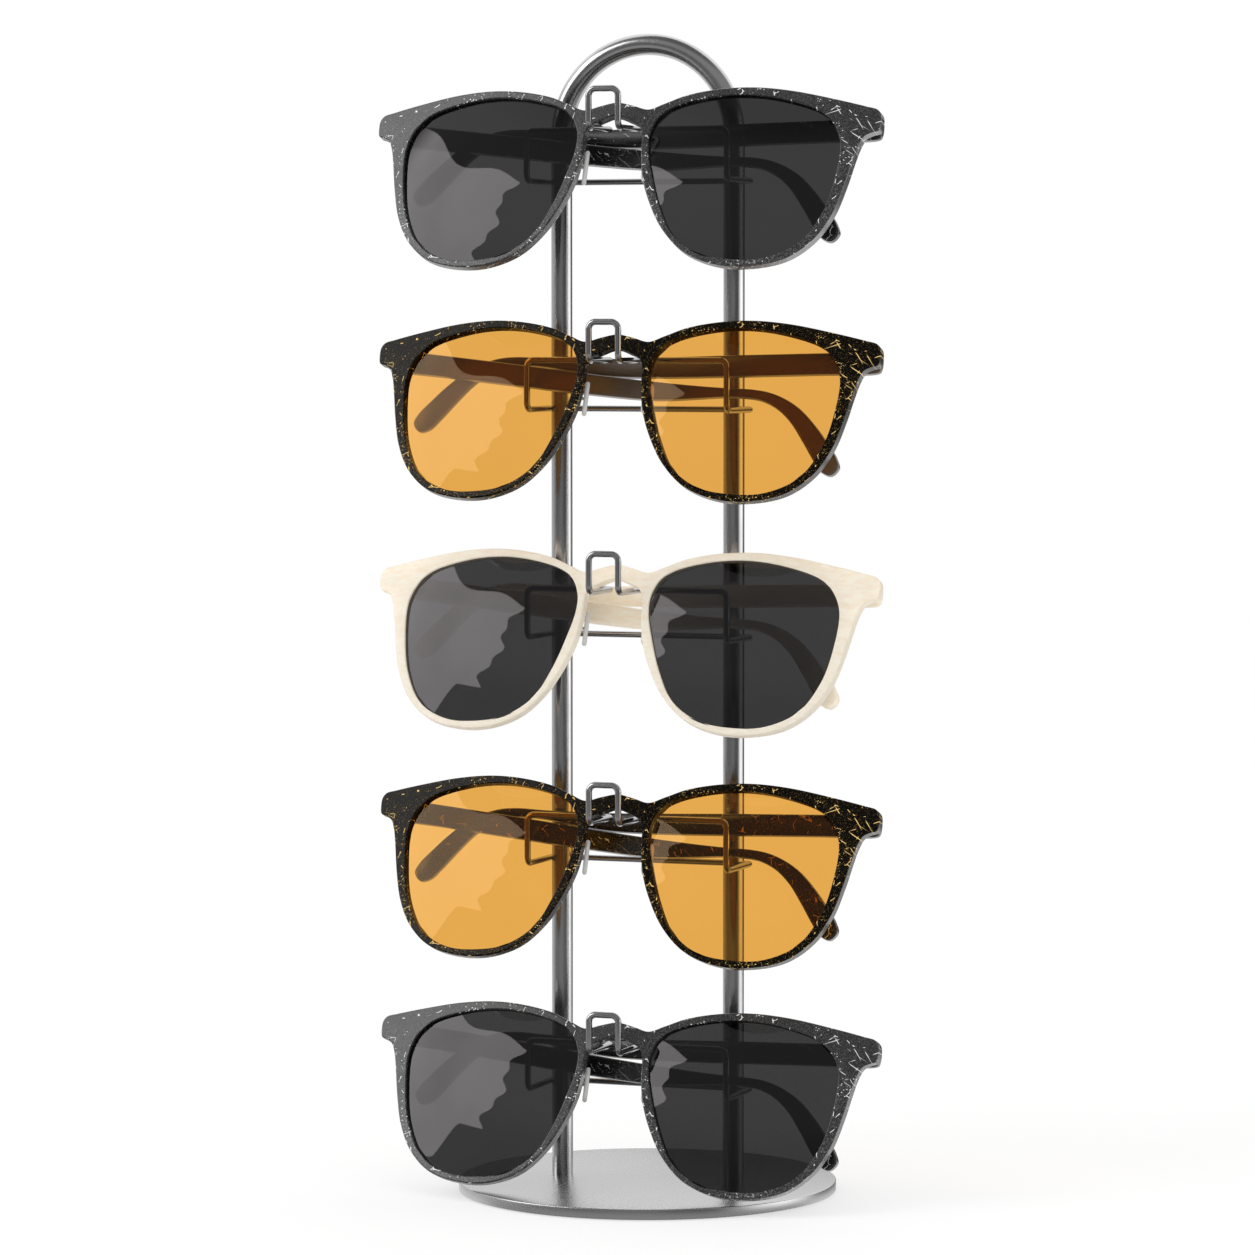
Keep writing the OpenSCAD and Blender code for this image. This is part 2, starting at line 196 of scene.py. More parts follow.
def rounded_plate(name, loops, thickness, place, turn, arc=5):
    """Plate with filleted edges. loops: (points, is_hole, front fillet, back fillet).
    place(u, v, n) gives a point and turn(u, v, vector) a direction, for depth n behind the front."""
    verts, normals, faces = [], [], []
    caps = {"front": [], "back": []}
    for points, is_hole, front_f, back_f in loops:
        out = loop_normals(points) * (-1 if is_hole else 1)
        rings = []
        for k in range(arc + 1):
            t = k / arc * math.pi / 2
            rings.append((front_f * (1 - math.sin(t)), front_f * (1 - math.cos(t)),
                          -math.cos(t), math.sin(t)))
        for k in range(arc + 1):
            t = k / arc * math.pi / 2
            rings.append((back_f * (1 - math.cos(t)), thickness - back_f * (1 - math.sin(t)),
                          math.sin(t), math.cos(t)))
        first = len(verts)
        count = len(points)
        for inset, depth, along_n, across in rings:
            for (u, v), (nu, nv) in zip(points - out * inset, out):
                verts.append(place(u, v, depth))
                normals.append(turn(u, v, (nu * across, along_n, nv * across)))
        for r in range(len(rings) - 1):
            for i in range(count):
                j = (i + 1) % count
                a, b = first + r * count, first + (r + 1) * count
                faces.append((a + i, a + j, b + j, b + i))
        caps["front"].append((points - out * front_f, first))
        caps["back"].append((points - out * back_f, first + (len(rings) - 1) * count))
    for rings in caps.values():
        flat, edges, index = [], [], []
        for ring, first in rings:
            start = len(flat)
            flat += [Vector(p) for p in ring]
            index += [first + i for i in range(len(ring))]
            edges += [(start + i, start + (i + 1) % len(ring)) for i in range(len(ring))]
        new_verts, _, tris, _, _, _ = delaunay_2d_cdt(flat, edges, [], 2, 1e-7)
        assert len(new_verts) == len(flat)
        holes = [points for points, is_hole, _, _ in loops if is_hole]
        for tri in tris:
            middle = sum((np.array(flat[i]) for i in tri), np.zeros(2)) / 3
            if not any(encloses(hole, middle) for hole in holes):
                faces.append(tuple(index[i] for i in tri))
    return new_object(name, verts, faces, normals)


def on_front(u, v, n):
    """Point on the curved front, at depth n behind its face."""
    x = BASE_R * math.sin(u / BASE_R)
    return (x, BASE_R - math.sqrt((BASE_R - n) ** 2 - x * x), v)


def turn_front(u, v, vec):
    """Direction on the curved front, from (across, deep, up)."""
    a = u / BASE_R
    across, deep, up = vec
    return (across * math.cos(a) - deep * math.sin(a), deep * math.cos(a) + across * math.sin(a), up)


def flat_place(u, v, n):
    """Point on a folded temple, at depth n behind its near face."""
    return (u, TEMPLE_NEAR + n, v)


def flat_turn(u, v, vec):
    return vec


def tube(name, points, radius, closed, sides=8):
    """Round wire through points, as a mesh."""
    curve = bpy.data.curves.new(name + "_path", "CURVE")
    curve.dimensions = "3D"
    curve.bevel_depth = radius * MM
    curve.bevel_resolution = sides
    curve.use_fill_caps = True
    spline = curve.splines.new("POLY")
    spline.points.add(len(points) - 1)
    for p, co in zip(spline.points, points):
        p.co = (co[0] * MM, co[1] * MM, co[2] * MM, 1)
    spline.use_cyclic_u = closed
    holder = bpy.data.objects.new(name + "_path", curve)
    bpy.context.scene.collection.objects.link(holder)
    mesh = bpy.data.meshes.new_from_object(holder)
    bpy.data.objects.remove(holder)
    for polygon in mesh.polygons:
        polygon.use_smooth = True
    mesh.name = name
    obj = bpy.data.objects.new(name, mesh)
    bpy.context.scene.collection.objects.link(obj)
    return sharpen(obj, 50)


def bent(points, bend, closed, arc=10):
    """Path through right-angled corners, rounded to a bend radius."""
    pts = [np.array(p, float) for p in points]
    count = len(pts)
    out = []
    for i, p in enumerate(pts):
        if not closed and i in (0, count - 1):
            out.append(p)
            continue
        before = pts[i - 1] - p
        after = pts[(i + 1) % count] - p
        before /= np.linalg.norm(before)
        after /= np.linalg.norm(after)
        centre = p + bend * (before + after)
        for k in range(arc + 1):
            t = k / arc * math.pi / 2
            out.append(centre - bend * (after * math.cos(t) + before * math.sin(t)))
    return out


def lathe(name, profile, segments):
    """Disc turned about Z from (radius, height) points."""
    verts, faces = [], []
    count = len(profile)
    for i in range(segments):
        a = 2 * math.pi * i / segments
        j = (i + 1) % segments
        for r, z in profile:
            verts.append((r * math.cos(a), r * math.sin(a), z))
        for k in range(count):
            m = (k + 1) % count
            faces.append((i * count + k, j * count + k, j * count + m, i * count + m))
    obj = new_object(name, verts, faces)
    bm = bmesh.new()
    bm.from_mesh(obj.data)
    bmesh.ops.remove_doubles(bm, verts=bm.verts, dist=1e-7)
    bmesh.ops.recalc_face_normals(bm, faces=bm.faces)
    bm.to_mesh(obj.data)
    bm.free()
    return sharpen(obj)


def corner(r, z, radius, start, steps=5):
    """Rounded corner of a lathe profile, centred on (r, z), a quarter turn from start degrees."""
    return [(r + radius * math.cos(math.radians(start + 90 * k / steps)),
             z + radius * math.sin(math.radians(start + 90 * k / steps))) for k in range(steps + 1)]


# ---------------------------------------------------------------- node helpers
def add(tree, kind, ins=None, **props):
    """New node; an input is linked when its value is a socket, and set otherwise."""
    node = tree.nodes.new(kind)
    for key, value in props.items():
        setattr(node, key, value)
    for key, value in (ins or {}).items():
        socket = node.inputs[key]
        if isinstance(value, bpy.types.NodeSocket):
            tree.links.new(value, socket)
        else:
            socket.default_value = value
    return node


def calc(tree, op, *values):
    return add(tree, "ShaderNodeMath", dict(enumerate(values)), operation=op).outputs[0]


def span(tree, value, low, high, to_low=0.0, to_high=1.0, smooth=True):
    """Maps low..high to to_low..to_high, and stays at the nearer of the two outside."""
    node = add(tree, "ShaderNodeMapRange", {"Value": value, "From Min": low, "From Max": high,
                                            "To Min": to_low, "To Max": to_high})
    node.interpolation_type = "SMOOTHSTEP" if smooth else "LINEAR"
    return node.outputs["Result"]


def product(tree, first, *others):
    for value in others:
        first = calc(tree, "MULTIPLY", first, value)
    return first


def highest(tree, first, *others):
    for value in others:
        first = calc(tree, "MAXIMUM", first, value)
    return first


def blend(tree, factor, a, b):
    """Value that goes from a to b as the factor goes from 0 to 1."""
    return add(tree, "ShaderNodeMix", {0: factor, 2: a, 3: b}, data_type="FLOAT").outputs[0]


def mix_colour(tree, factor, a, b):
    return add(tree, "ShaderNodeMix", {0: factor, 6: a, 7: b}, data_type="RGBA").outputs[2]


def mix_shader(tree, factor, a, b):
    return add(tree, "ShaderNodeMixShader", {0: factor, 1: a, 2: b}).outputs[0]


def vector(tree, op, a, b):
    return add(tree, "ShaderNodeVectorMath", {0: a, 1: b}, operation=op).outputs[0]


def scaled(tree, value, factor):
    return add(tree, "ShaderNodeVectorMath", {0: value, "Scale": factor}, operation="SCALE").outputs[0]


def rgba(colour, brightness=1.0):
    return [min(1.0, c * brightness) for c in colour] + [1.0]


def material(name):
    mat = bpy.data.materials.new(name)
    mat.use_nodes = True
    mat.node_tree.nodes.clear()
    return mat, mat.node_tree


def mm_coords(tree, stretch=(1, 1, 1)):
    """Object coordinates in millimetres, stretched per axis."""
    where = add(tree, "ShaderNodeTexCoord").outputs["Object"]
    return vector(tree, "MULTIPLY", where, tuple(s / MM for s in stretch))


def noise(tree, coords, scale, detail=3.0, rough=0.5):
    return add(tree, "ShaderNodeTexNoise", {"Vector": coords, "Scale": scale, "Detail": detail,
                                            "Roughness": rough}).outputs["Fac"]


def bump(tree, height, strength, distance=0.0002):
    return add(tree, "ShaderNodeBump", {"Height": height, "Strength": strength,
                                        "Distance": distance}).outputs["Normal"]


def cracks(tree, coords, scale, full, gone):
    """Lines between the cells of a Voronoi pattern, as wide as the two distances say."""
    edge = add(tree, "ShaderNodeTexVoronoi", {"Vector": coords, "Scale": scale},
               feature="DISTANCE_TO_EDGE").outputs["Distance"]
    return span(tree, edge, full, gone, 1.0, 0.0)


MOST_SHINE = 0.38  # largest mirror share of dark acetate
# scratches at the right end of a front: slant in degrees and spacing in millimetres of each set, the half
# widths in millimetres where a line starts to fade and where it is gone, and the share of lines shown
SCRATCH_SETS = ((-54, 2.3), (-30, 2.6), (24, 4.0))
SCRATCH_CORE, SCRATCH_EDGE = 0.045, 0.14
SCRATCH_SHARE = 0.43


def scratches(tree, coords, slant, spacing):
    """Straight thin lines at one slant, each seen only where a noise stretched along it is high."""
    turned = add(tree, "ShaderNodeVectorRotate", {"Vector": coords, "Angle": math.radians(slant)},
                 rotation_type="Y_AXIS").outputs[0]
    over = add(tree, "ShaderNodeSeparateXYZ", {0: turned}).outputs[2]
    edge = add(tree, "ShaderNodeTexVoronoi", {"W": over, "Scale": 1 / spacing},
               feature="DISTANCE_TO_EDGE", voronoi_dimensions="1D").outputs["Distance"]
    line = span(tree, edge, SCRATCH_CORE / spacing, SCRATCH_EDGE / spacing, 1.0, 0.0)
    gate = noise(tree, vector(tree, "MULTIPLY", turned, (0.14, 0.0, 0.9)), 1.0, 1.0)
    return product(tree, line, span(tree, gate, 1 - SCRATCH_SHARE, 1.03 - SCRATCH_SHARE))


def finish_surface(tree, shader):
    out = add(tree, "ShaderNodeOutputMaterial")
    tree.links.new(shader, out.inputs["Surface"])


def metal(name, colour, rough, grain, stretch=(1, 1, 1), vary=0.06, spread=0.17):
    """Metal with a fine grain; its tone changes by the share vary, and its roughness by spread."""
    mat, tree = material(name)
    fine = noise(tree, mm_coords(tree, stretch), 1.6, 4.0)
    cloud = noise(tree, mm_coords(tree), 0.05, 3.0)
    tone = scaled(tree, colour, span(tree, cloud, 0.3, 0.7, 1 - vary, 1 + vary))
    roughness = span(tree, fine, 0.3, 0.7, rough * (1 - spread), rough * (1 + spread))
    shader = add(tree, "ShaderNodeBsdfPrincipled", {
        "Base Color": tone, "Metallic": 1.0, "Roughness": roughness, "Normal": bump(tree, fine, grain)})
    finish_surface(tree, shader.outputs[0])
    return mat


def plastic(name, colour, rough, grain):
    """Plain plastic, rubber or paint with a fine grain."""
    mat, tree = material(name)
    fine = noise(tree, mm_coords(tree), 2.0, 4.0)
    shader = add(tree, "ShaderNodeBsdfPrincipled", {
        "Base Color": mix_colour(tree, fine, rgba(colour, 0.85), rgba(colour, 1.1)),
        "Roughness": rough, "Normal": bump(tree, fine, grain)})
    finish_surface(tree, shader.outputs[0])
    return mat


def acetate_marks(tree, coords, zones, low_rim, right_end, veins, flakes, flake_size):
    """Share of the bright colour: thin veins, clusters of flakes, and scratches at the right end."""
    sway = add(tree, "ShaderNodeTexNoise", {"Vector": coords, "Scale": 0.3, "Detail": 4.0}).outputs["Color"]
    wavy = vector(tree, "ADD", coords, scaled(tree, vector(tree, "SUBTRACT", sway, (0.5, 0.5, 0.5)), 2.2))
    broken = noise(tree, coords, 0.42, 2.0)
    vein = product(tree, cracks(tree, wavy, 0.2, 0.006, 0.02), span(tree, broken, 0.56, 0.6), veins)
    lines = [scratches(tree, coords, slant, spacing) for slant, spacing in SCRATCH_SETS]
    scratch = product(tree, highest(tree, *lines), right_end, flakes)
    # a flake fills the middle of a flattened Voronoi cell, in a few cells picked by their random colour
    flat = vector(tree, "MULTIPLY", wavy, (1.0, 1.0, 1.9))
    cell = add(tree, "ShaderNodeTexVoronoi", {"Vector": flat, "Scale": 1 / flake_size, "Randomness": 1.0})
    pick = add(tree, "ShaderNodeSeparateColor", {0: cell.outputs["Color"]}).outputs[0]
    favour = calc(tree, "MULTIPLY", highest(tree, low_rim, right_end), 0.06)
    chip = product(tree, span(tree, cell.outputs["Distance"], 0.24, 0.36, 1.0, 0.0),
                   span(tree, pick, 0.72, 0.76),
                   span(tree, calc(tree, "ADD", zones, favour), 0.57, 0.63, 0.0, flakes))
    return highest(tree, vein, scratch, chip)


def acetate(name, deep, grain_colour, vein_colour, grain, veins, flakes, flake_size, rough, shine):
    """Dark acetate with a fine grain and bright marks. grain is the noise level where specks start, the
    level where they are full, and their strength; veins and flakes are the strengths of the marks;
    flake_size is in millimetres, and shine is the mirror share face on and its climb to grazing views."""
    mat, tree = material(name)
    coords = mm_coords(tree)
    across, _, up = add(tree, "ShaderNodeSeparateXYZ", {0: coords}).outputs
    # the grain thickens towards the lower rims, the flakes towards the lower rims and the right end
    low_rim = span(tree, up, 2.0, -34.0)
    right_end = product(tree, span(tree, across, 50.0, 64.0), span(tree, up, -10.0, -2.0))
    zones = noise(tree, coords, 0.085, 2.0)
    speck = noise(tree, coords, 2.4, 5.0, 0.85)
    specks = product(tree, span(tree, speck, grain[0], grain[1], 0.0, grain[2]),
                     span(tree, zones, 0.35, 0.6, 0.6, 1.0), span(tree, low_rim, 0.0, 1.0, 0.7, 1.3))
    bright = acetate_marks(tree, coords, zones, low_rim, right_end, veins, flakes, flake_size)
    tone = mix_colour(tree, specks, rgba(deep), rgba(grain_colour))
    tone = mix_colour(tree, bright, tone, rgba(vein_colour))
    relief = bump(tree, speck, 0.12, 0.0001)
    body = add(tree, "ShaderNodeBsdfPrincipled", {
        "Base Color": tone, "Roughness": 0.5, "Specular IOR Level": 0.0, "Normal": relief})
    gloss = add(tree, "ShaderNodeBsdfGlossy", {"Color": (1, 1, 1, 1), "Roughness": rough, "Normal": relief})
    # the mirror share climbs steeply towards grazing views, up to a cap
    face_on, climb = shine
    grazing = add(tree, "ShaderNodeLayerWeight", {"Blend": 0.5}).outputs["Facing"]
    share = calc(tree, "MULTIPLY", calc(tree, "POWER", grazing, 4.0), climb)
    share = calc(tree, "MINIMUM", calc(tree, "ADD", share, face_on), MOST_SHINE)
    finish_surface(tree, mix_shader(tree, share, body.outputs[0], gloss.outputs[0]))
    return mat


def ivory(name):
    """Pale acetate with soft streaks, which lets some light through, and with a faint painted glow that lifts
    its shade.
    """
    mat, tree = material(name)
    streaks = noise(tree, mm_coords(tree, (0.3, 1, 1.1)), 0.8, 5.0, 0.7)
    speck = noise(tree, mm_coords(tree), 3.2, 4.0, 0.75)
    tone = mix_colour(tree, span(tree, streaks, 0.35, 0.7), rgba((1.0, 0.95, 0.85)), rgba((0.93, 0.85, 0.71)))
    tone = mix_colour(tree, span(tree, speck, 0.5, 0.72, 0.0, 0.26), tone, rgba((0.78, 0.68, 0.52)))
    # the emission is a painted glow: it lifts the shade on the ivory where the fronts and dark lenses shadow
    # it
    solid = add(tree, "ShaderNodeBsdfPrincipled", {
        "Base Color": tone, "Roughness": 0.34, "IOR": 1.5, "Emission Color": tone, "Emission Strength": 0.08,
        "Normal": bump(tree, speck, 0.1, 0.0001)})
    glow = add(tree, "ShaderNodeBsdfTranslucent", {"Color": tone})
    finish_surface(tree, mix_shader(tree, 0.42, solid.outputs[0], glow.outputs[0]))
    return mat


def lens_glass(name, tint, sheen):
    """Tinted lens: each face passes the square root of the tint and mirrors a little of the room."""
    mat, tree = material(name)
    through = [math.sqrt(c) for c in tint]
    cloud = noise(tree, mm_coords(tree), 0.04, 2.0)
    colour = mix_colour(tree, cloud, rgba(through, 0.985), rgba(through, 1.01))
    clear = add(tree, "ShaderNodeBsdfTransparent", {"Color": colour})
    back = add(tree, "ShaderNodeNewGeometry").outputs["Backfacing"]
    mirrored = calc(tree, "MULTIPLY", add(tree, "ShaderNodeFresnel", {"IOR": 1.5}).outputs[0],
                    calc(tree, "SUBTRACT", 1.0, back))
    shine = add(tree, "ShaderNodeBsdfGlossy", {"Color": (*sheen, 1.0), "Roughness": 0.015})
    finish_surface(tree, mix_shader(tree, mirrored, clear.outputs[0], shine.outputs[0]))
    return mat


def grey(value):
    return (value, value, value)


# maker and settings of each material: one for each slot of the CAD model, and acetate_black, acetate_brown
# and acetate_gilt for the temples, which share a slot with their fronts but look plainer
LOOKS = {
    "hoop_steel": (metal, {
        "colour": (0.55, 0.55, 0.56), "rough": 0.19, "grain": 0.01, "stretch": (1, 1, 0.1)}),
    "wire_steel": (metal, {"colour": (0.5, 0.5, 0.51), "rough": 0.16, "grain": 0.004}),
    "disc_steel": (metal, {"colour": grey(0.56), "rough": 0.27, "grain": 0.0, "vary": 0.015, "spread": 0.02}),
    "fixing_steel": (metal, {"colour": (0.6, 0.6, 0.58), "rough": 0.3, "grain": 0.05}),
    "hinge_steel": (metal, {"colour": grey(0.68), "rough": 0.25, "grain": 0.03}),
    "ground_steel": (plastic, {"colour": grey(0.03), "rough": 0.5, "grain": 0.3}),
    "pad_rubber": (plastic, {"colour": grey(0.025), "rough": 0.75, "grain": 0.6}),
    "glide_plastic": (plastic, {"colour": (0.75, 0.75, 0.7), "rough": 0.4, "grain": 0.05}),
    "nose_pad_clear": (plastic, {"colour": (0.62, 0.62, 0.61), "rough": 0.15, "grain": 0.02}),
    "acetate_charcoal": (acetate, {
        "deep": (0.012, 0.012, 0.013), "grain_colour": grey(0.19), "vein_colour": grey(0.95),
        "grain": (0.45, 0.66, 0.75), "veins": 1.0, "flakes": 0.8, "flake_size": 0.75,
        "rough": 0.26, "shine": (0.05, 2.2)}),
    "acetate_gold": (acetate, {
        "deep": (0.002, 0.0015, 0.001), "grain_colour": (0.6, 0.38, 0.1), "vein_colour": (1.0, 0.68, 0.24),
        "grain": (0.575, 0.665, 0.95), "veins": 1.0, "flakes": 1.0, "flake_size": 0.55,
        "rough": 0.22, "shine": (0.01, 0.9)}),
    "acetate_black": (acetate, {
        "deep": (0.008, 0.008, 0.009), "grain_colour": grey(0.12), "vein_colour": grey(0.9),
        "grain": (0.5, 0.7, 0.5), "veins": 0.5, "flakes": 0.15, "flake_size": 0.75,
        "rough": 0.16, "shine": (0.05, 2.2)}),
    "acetate_brown": (acetate, {
        "deep": (0.075, 0.05, 0.03), "grain_colour": (0.16, 0.12, 0.08), "vein_colour": (0.5, 0.36, 0.2),
        "grain": (0.45, 0.7, 0.4), "veins": 0.0, "flakes": 0.0, "flake_size": 0.75,
        "rough": 0.3, "shine": (0.04, 2.2)}),
    "acetate_gilt": (acetate, {
        "deep": (0.006, 0.004, 0.002), "grain_colour": (0.4, 0.26, 0.09), "vein_colour": (0.9, 0.6, 0.24),
        "grain": (0.52, 0.68, 0.7), "veins": 0.6, "flakes": 0.15, "flake_size": 0.55,
        "rough": 0.2, "shine": (0.04, 2.2)}),
    "acetate_ivory": (ivory, {}),
    "lens_grey": (lens_glass, {"tint": (0.0345, 0.0345, 0.0347), "sheen": (1.08, 1.03, 1.06)}),
    "lens_amber": (lens_glass, {"tint": (0.80, 0.405, 0.078), "sheen": (1.0, 0.72, 0.45)}),
}
MAT = {name: make(name, **settings) for name, (make, settings) in LOOKS.items()}


def dress(obj, slot, finish=None):
    """Gives a piece the material of its CAD slot, or another finish if one is named."""
    obj.data.materials.clear()
    obj.data.materials.append(MAT[finish or slot])
    return obj


# the CAD nodes that stay in view are dressed by their slots
for entry in frame["record"]["subparts"]:
    node = frame["nodes"][entry["node"]]
    for holder in node.material_slots:
        holder.material = MAT[entry["material_slot"]]


# ---------------------------------------------------------------- rack
def add_piece(obj, body, slot, *nodes, finish=None):
    """Dresses a piece, lets it ride on a body and puts it in place of CAD nodes."""
    dress(obj, slot, finish)
    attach(obj, body)
    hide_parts(*nodes)
    return obj


def hoop_path(arc_steps=96):
    """Middle line of the rod: up one side, round the top and down the other."""
    spring = HOOP_TOP - ROD_R - UPRIGHT_X
    path = [(-UPRIGHT_X, 0, DISC_TOP), (-UPRIGHT_X, 0, spring / 2)]
    for k in range(arc_steps + 1):
        a = math.pi - math.pi * k / arc_steps
        path.append((UPRIGHT_X * math.cos(a), 0, spring + UPRIGHT_X * math.sin(a)))
    return path + [(UPRIGHT_X, 0, spring / 2), (UPRIGHT_X, 0, DISC_TOP)]


add_piece(tube("hoop", hoop_path(), ROD_R, False, 14), "turntable", "hoop_steel", "upright_hoop")
disc_profile = (
    corner(DISC_R - DISC_EDGE, DISC_TOP - DISC_EDGE, DISC_EDGE, 0)
    + [(0.0, DISC_TOP), (0.0, RIVET_TOP), (RIVET_HOLE_R, RIVET_TOP), (RIVET_HOLE_R, DISC_UNDER),
       (SKIRT_INNER_R, DISC_UNDER), (SKIRT_INNER_R, SKIRT_BOTTOM)]
    + corner(DISC_R - SKIRT_EDGE, SKIRT_BOTTOM + SKIRT_EDGE, SKIRT_EDGE, -90, 3))
add_piece(lathe("disc", disc_profile, 256), "turntable", "disc_steel", "turntable_disc")


def hanger_path(z):
    """Closed wire of a hanger whose arms are at height z."""
    half = [(LOOP_X, -LOOP_Y, z + LOOP_H), (LOOP_X, -LOOP_Y, z), (LOOP_X, -FRAME_Y, z),
            (SIDE_X, -FRAME_Y, z), (SIDE_X, -FRAME_Y, z - FRAME_H), (SIDE_X, ROD_R + WIRE_R, z - FRAME_H)]
    return bent(half + [(-x, y, h) for x, y, h in half[::-1]], WIRE_BEND, True)


# ---------------------------------------------------------------- sunglasses
def lens_mesh(name, side, tip, rings=14, dome=0.75, sphere=110.0):
    """Lens with a dome of a given height, finished with the normals of a sphere of a given radius that is
    tipped forward. side is -1 for the left lens and 1 for the right one."""
    loop = smooth_loop([(side * x, y) for x, y in OPENING], 0.8)
    centre = np.array((side * LENS_CENTRE[0], LENS_CENTRE[1]))
    ray = loop - centre
    loop = loop + LENS_GROOVE * ray / np.linalg.norm(ray, axis=1)[:, None]
    theta = side * LENS_CENTRE[0] / BASE_R
    look = np.array((math.sin(theta), -math.cos(theta), 0))
    middle = np.array(on_front(centre[0], centre[1], 0))
    verts, normals, faces = [], [], []
    count = len(loop)
    for face in (0, 1):
        for r in range(rings):
            k = 1 - r / rings
            for p in centre + (loop - centre) * k:
                depth = LENS_DEPTH - dome * (1 - k * k) + face * LENS_T
                at = np.array(on_front(p[0], p[1], depth))
                off = at - middle
                off -= look * (off @ look)
                n = look + off / sphere - np.array((0, 0, tip))
                verts.append(at)
                normals.append((n if face == 0 else -n) / np.linalg.norm(n))
        verts.append(np.array(on_front(centre[0], centre[1], LENS_DEPTH - dome + face * LENS_T)))
        normals.append(look if face == 0 else -look)
    per_face = rings * count + 1
    for base in (0, per_face):
        apex = base + per_face - 1
        for i in range(count):
            j = (i + 1) % count
            for ring in range(base, apex - count, count):
                faces.append((ring + i, ring + j, ring + count + j, ring + count + i))
            faces.append((apex - count + i, apex - count + j, apex))
    faces += [(i, (i + 1) % count, per_face + (i + 1) % count, per_face + i) for i in range(count)]
    return new_object(name, verts, faces, normals)


def hung_matrix(level):
    """Frame of a hung pair, whose origin is at the middle of the bridge's front face."""
    place = Matrix.Translation((0, -BRIDGE_Y * MM, (level_z(level) + REST_LIFT) * MM))
    return place @ Matrix.Rotation(-LEAN, 4, "X")


def hinge_matrix(side):
    """Frame of a folded temple in the frame of its pair."""
    flip = Matrix.Diagonal((-1, 1, 1, 1)) if side == "right" else Matrix.Identity(4)
    return (flip @ Matrix.Translation((-HINGE[0] * MM, HINGE[1] * MM, HINGE[2] * MM))
            @ Matrix.Rotation(math.radians(DROOP[side]), 4, "Y")
            @ Matrix.Rotation(math.radians(SPLAY[side]), 4, "Z"))


def stadium(width, length, steps=14):
    """Outline with two straight sides and round ends."""
    pts = []
    for sign in (1, -1):
        for k in range(steps + 1):
            a = math.pi * k / steps
            pts.append((sign * width / 2 * math.cos(a),
                        sign * ((length - width) / 2 + width / 2 * math.sin(a))))
    return np.array(pts)


def nose_pads(name):
    """Two soft pads on bent arms, as one piece."""
    parts = []
    x, z = PAD_ROOT
    arm = bent([(x, PAD_ROOT_DEPTH, z), (x, PAD_BACK, z), (x - PAD_REACH, PAD_BACK, z)], PAD_ARM_BEND, False)
    wide = np.array((math.sin(PAD_SPLAY), math.cos(PAD_SPLAY), 0))
    out = np.array((math.cos(PAD_SPLAY), -math.sin(PAD_SPLAY), 0))
    up = np.array((0, 0, 1))
    centre = np.array((x - PAD_REACH, PAD_BACK, z))
    for sign in (1, -1):
        flip = np.array((sign, 1, 1))

        def place(u, v, n, flip=flip):
            return flip * (centre + wide * u + out * (n - PAD_T / 2) + up * v)

        def turn(u, v, vec, flip=flip):
            return flip * (wide * vec[0] + out * vec[1] + up * vec[2])

        parts.append(tube(f"{name}_arm{sign}", [flip * p for p in arm], PAD_ARM_R, False, 4))
        outline = (stadium(PAD_W, PAD_L), False, PAD_EDGE, PAD_EDGE)
        parts.append(rounded_plate(f"{name}_pad{sign}", [outline], PAD_T, place, turn))
    return join(name, parts)


def join(name, parts):
    """One mesh object from several, which it takes the place of."""
    bm = bmesh.new()
    for part in parts:
        bm.from_mesh(part.data)
        bpy.data.objects.remove(part)
    mesh = bpy.data.meshes.new(name)
    bm.to_mesh(mesh)
    bm.free()
    obj = bpy.data.objects.new(name, mesh)
    bpy.context.scene.collection.objects.link(obj)
    return obj


front_loops = [(smooth_loop(whole_front()), False, *FRONT_EDGE)]
for side in (1, -1):
    front_loops.append((smooth_loop([(side * x, y) for x, y in OPENING]), True, *OPENING_EDGE))
temple_loop = (smooth_loop(TEMPLE), False, TEMPLE_EDGE, TEMPLE_EDGE)
master = {
    "front": rounded_plate("front_master", front_loops, FRONT_T, on_front, turn_front),
    "temple": rounded_plate("temple_master", [temple_loop], TEMPLE_T, flat_place, flat_turn),
    "pads": nose_pads("pads_master"),
}
CHARCOAL = ("acetate_charcoal", "acetate_black", "lens_grey")
# slot of the acetate, finish of the temples and slot of the lenses, from the top pair down
PAIR_LOOKS = {1: CHARCOAL, 2: ("acetate_gold", "acetate_brown", "lens_amber"),
              3: ("acetate_ivory", "acetate_ivory", "lens_grey"),
              4: ("acetate_gold", "acetate_gilt", "lens_amber"), 5: CHARCOAL}


def copy_of(key, name, matrix):
    """Copy of a master piece, at a matrix."""
    obj = bpy.data.objects.new(name, master[key].data.copy())
    bpy.context.scene.collection.objects.link(obj)
    obj.matrix_world = matrix
    return obj


for level in LEVELS:
    shell, temple_finish, tint = PAIR_LOOKS[level]
    hung = hung_matrix(level)
    pair = f"pair_{level}"
    wire = tube(f"hanger_wire_{level}", hanger_path(level_z(level)), WIRE_R, True)
    add_piece(wire, "turntable", "wire_steel", f"hanger_{level}")
    add_piece(copy_of("front", f"front_acetate_{level}", hung), pair, shell, f"front_{level}")
    for side, sign in (("left", -1), ("right", 1)):
        lens = lens_mesh(f"lens_{side}_tinted_{level}", sign, LENS_TIP[level])
        lens.matrix_world = hung
        add_piece(lens, pair, tint, f"lens_{side}_{level}")
        place = hung @ hinge_matrix(side)
        blade = copy_of("temple", f"temple_{side}_acetate_{level}", place)
        if side == "right":
            mirror_x = Matrix.Diagonal((-1, 1, 1, 1))
            blade.data.transform(mirror_x)
            blade.data.flip_normals()
            blade.matrix_world = place @ mirror_x
        add_piece(blade, f"temple_{side}_{level}", shell, f"temple_{side}_{level}", finish=temple_finish)
    add_piece(copy_of("pads", f"nose_pads_soft_{level}", hung), pair, "nose_pad_clear", f"nose_pads_{level}")
for obj in master.values():
    bpy.data.objects.remove(obj)


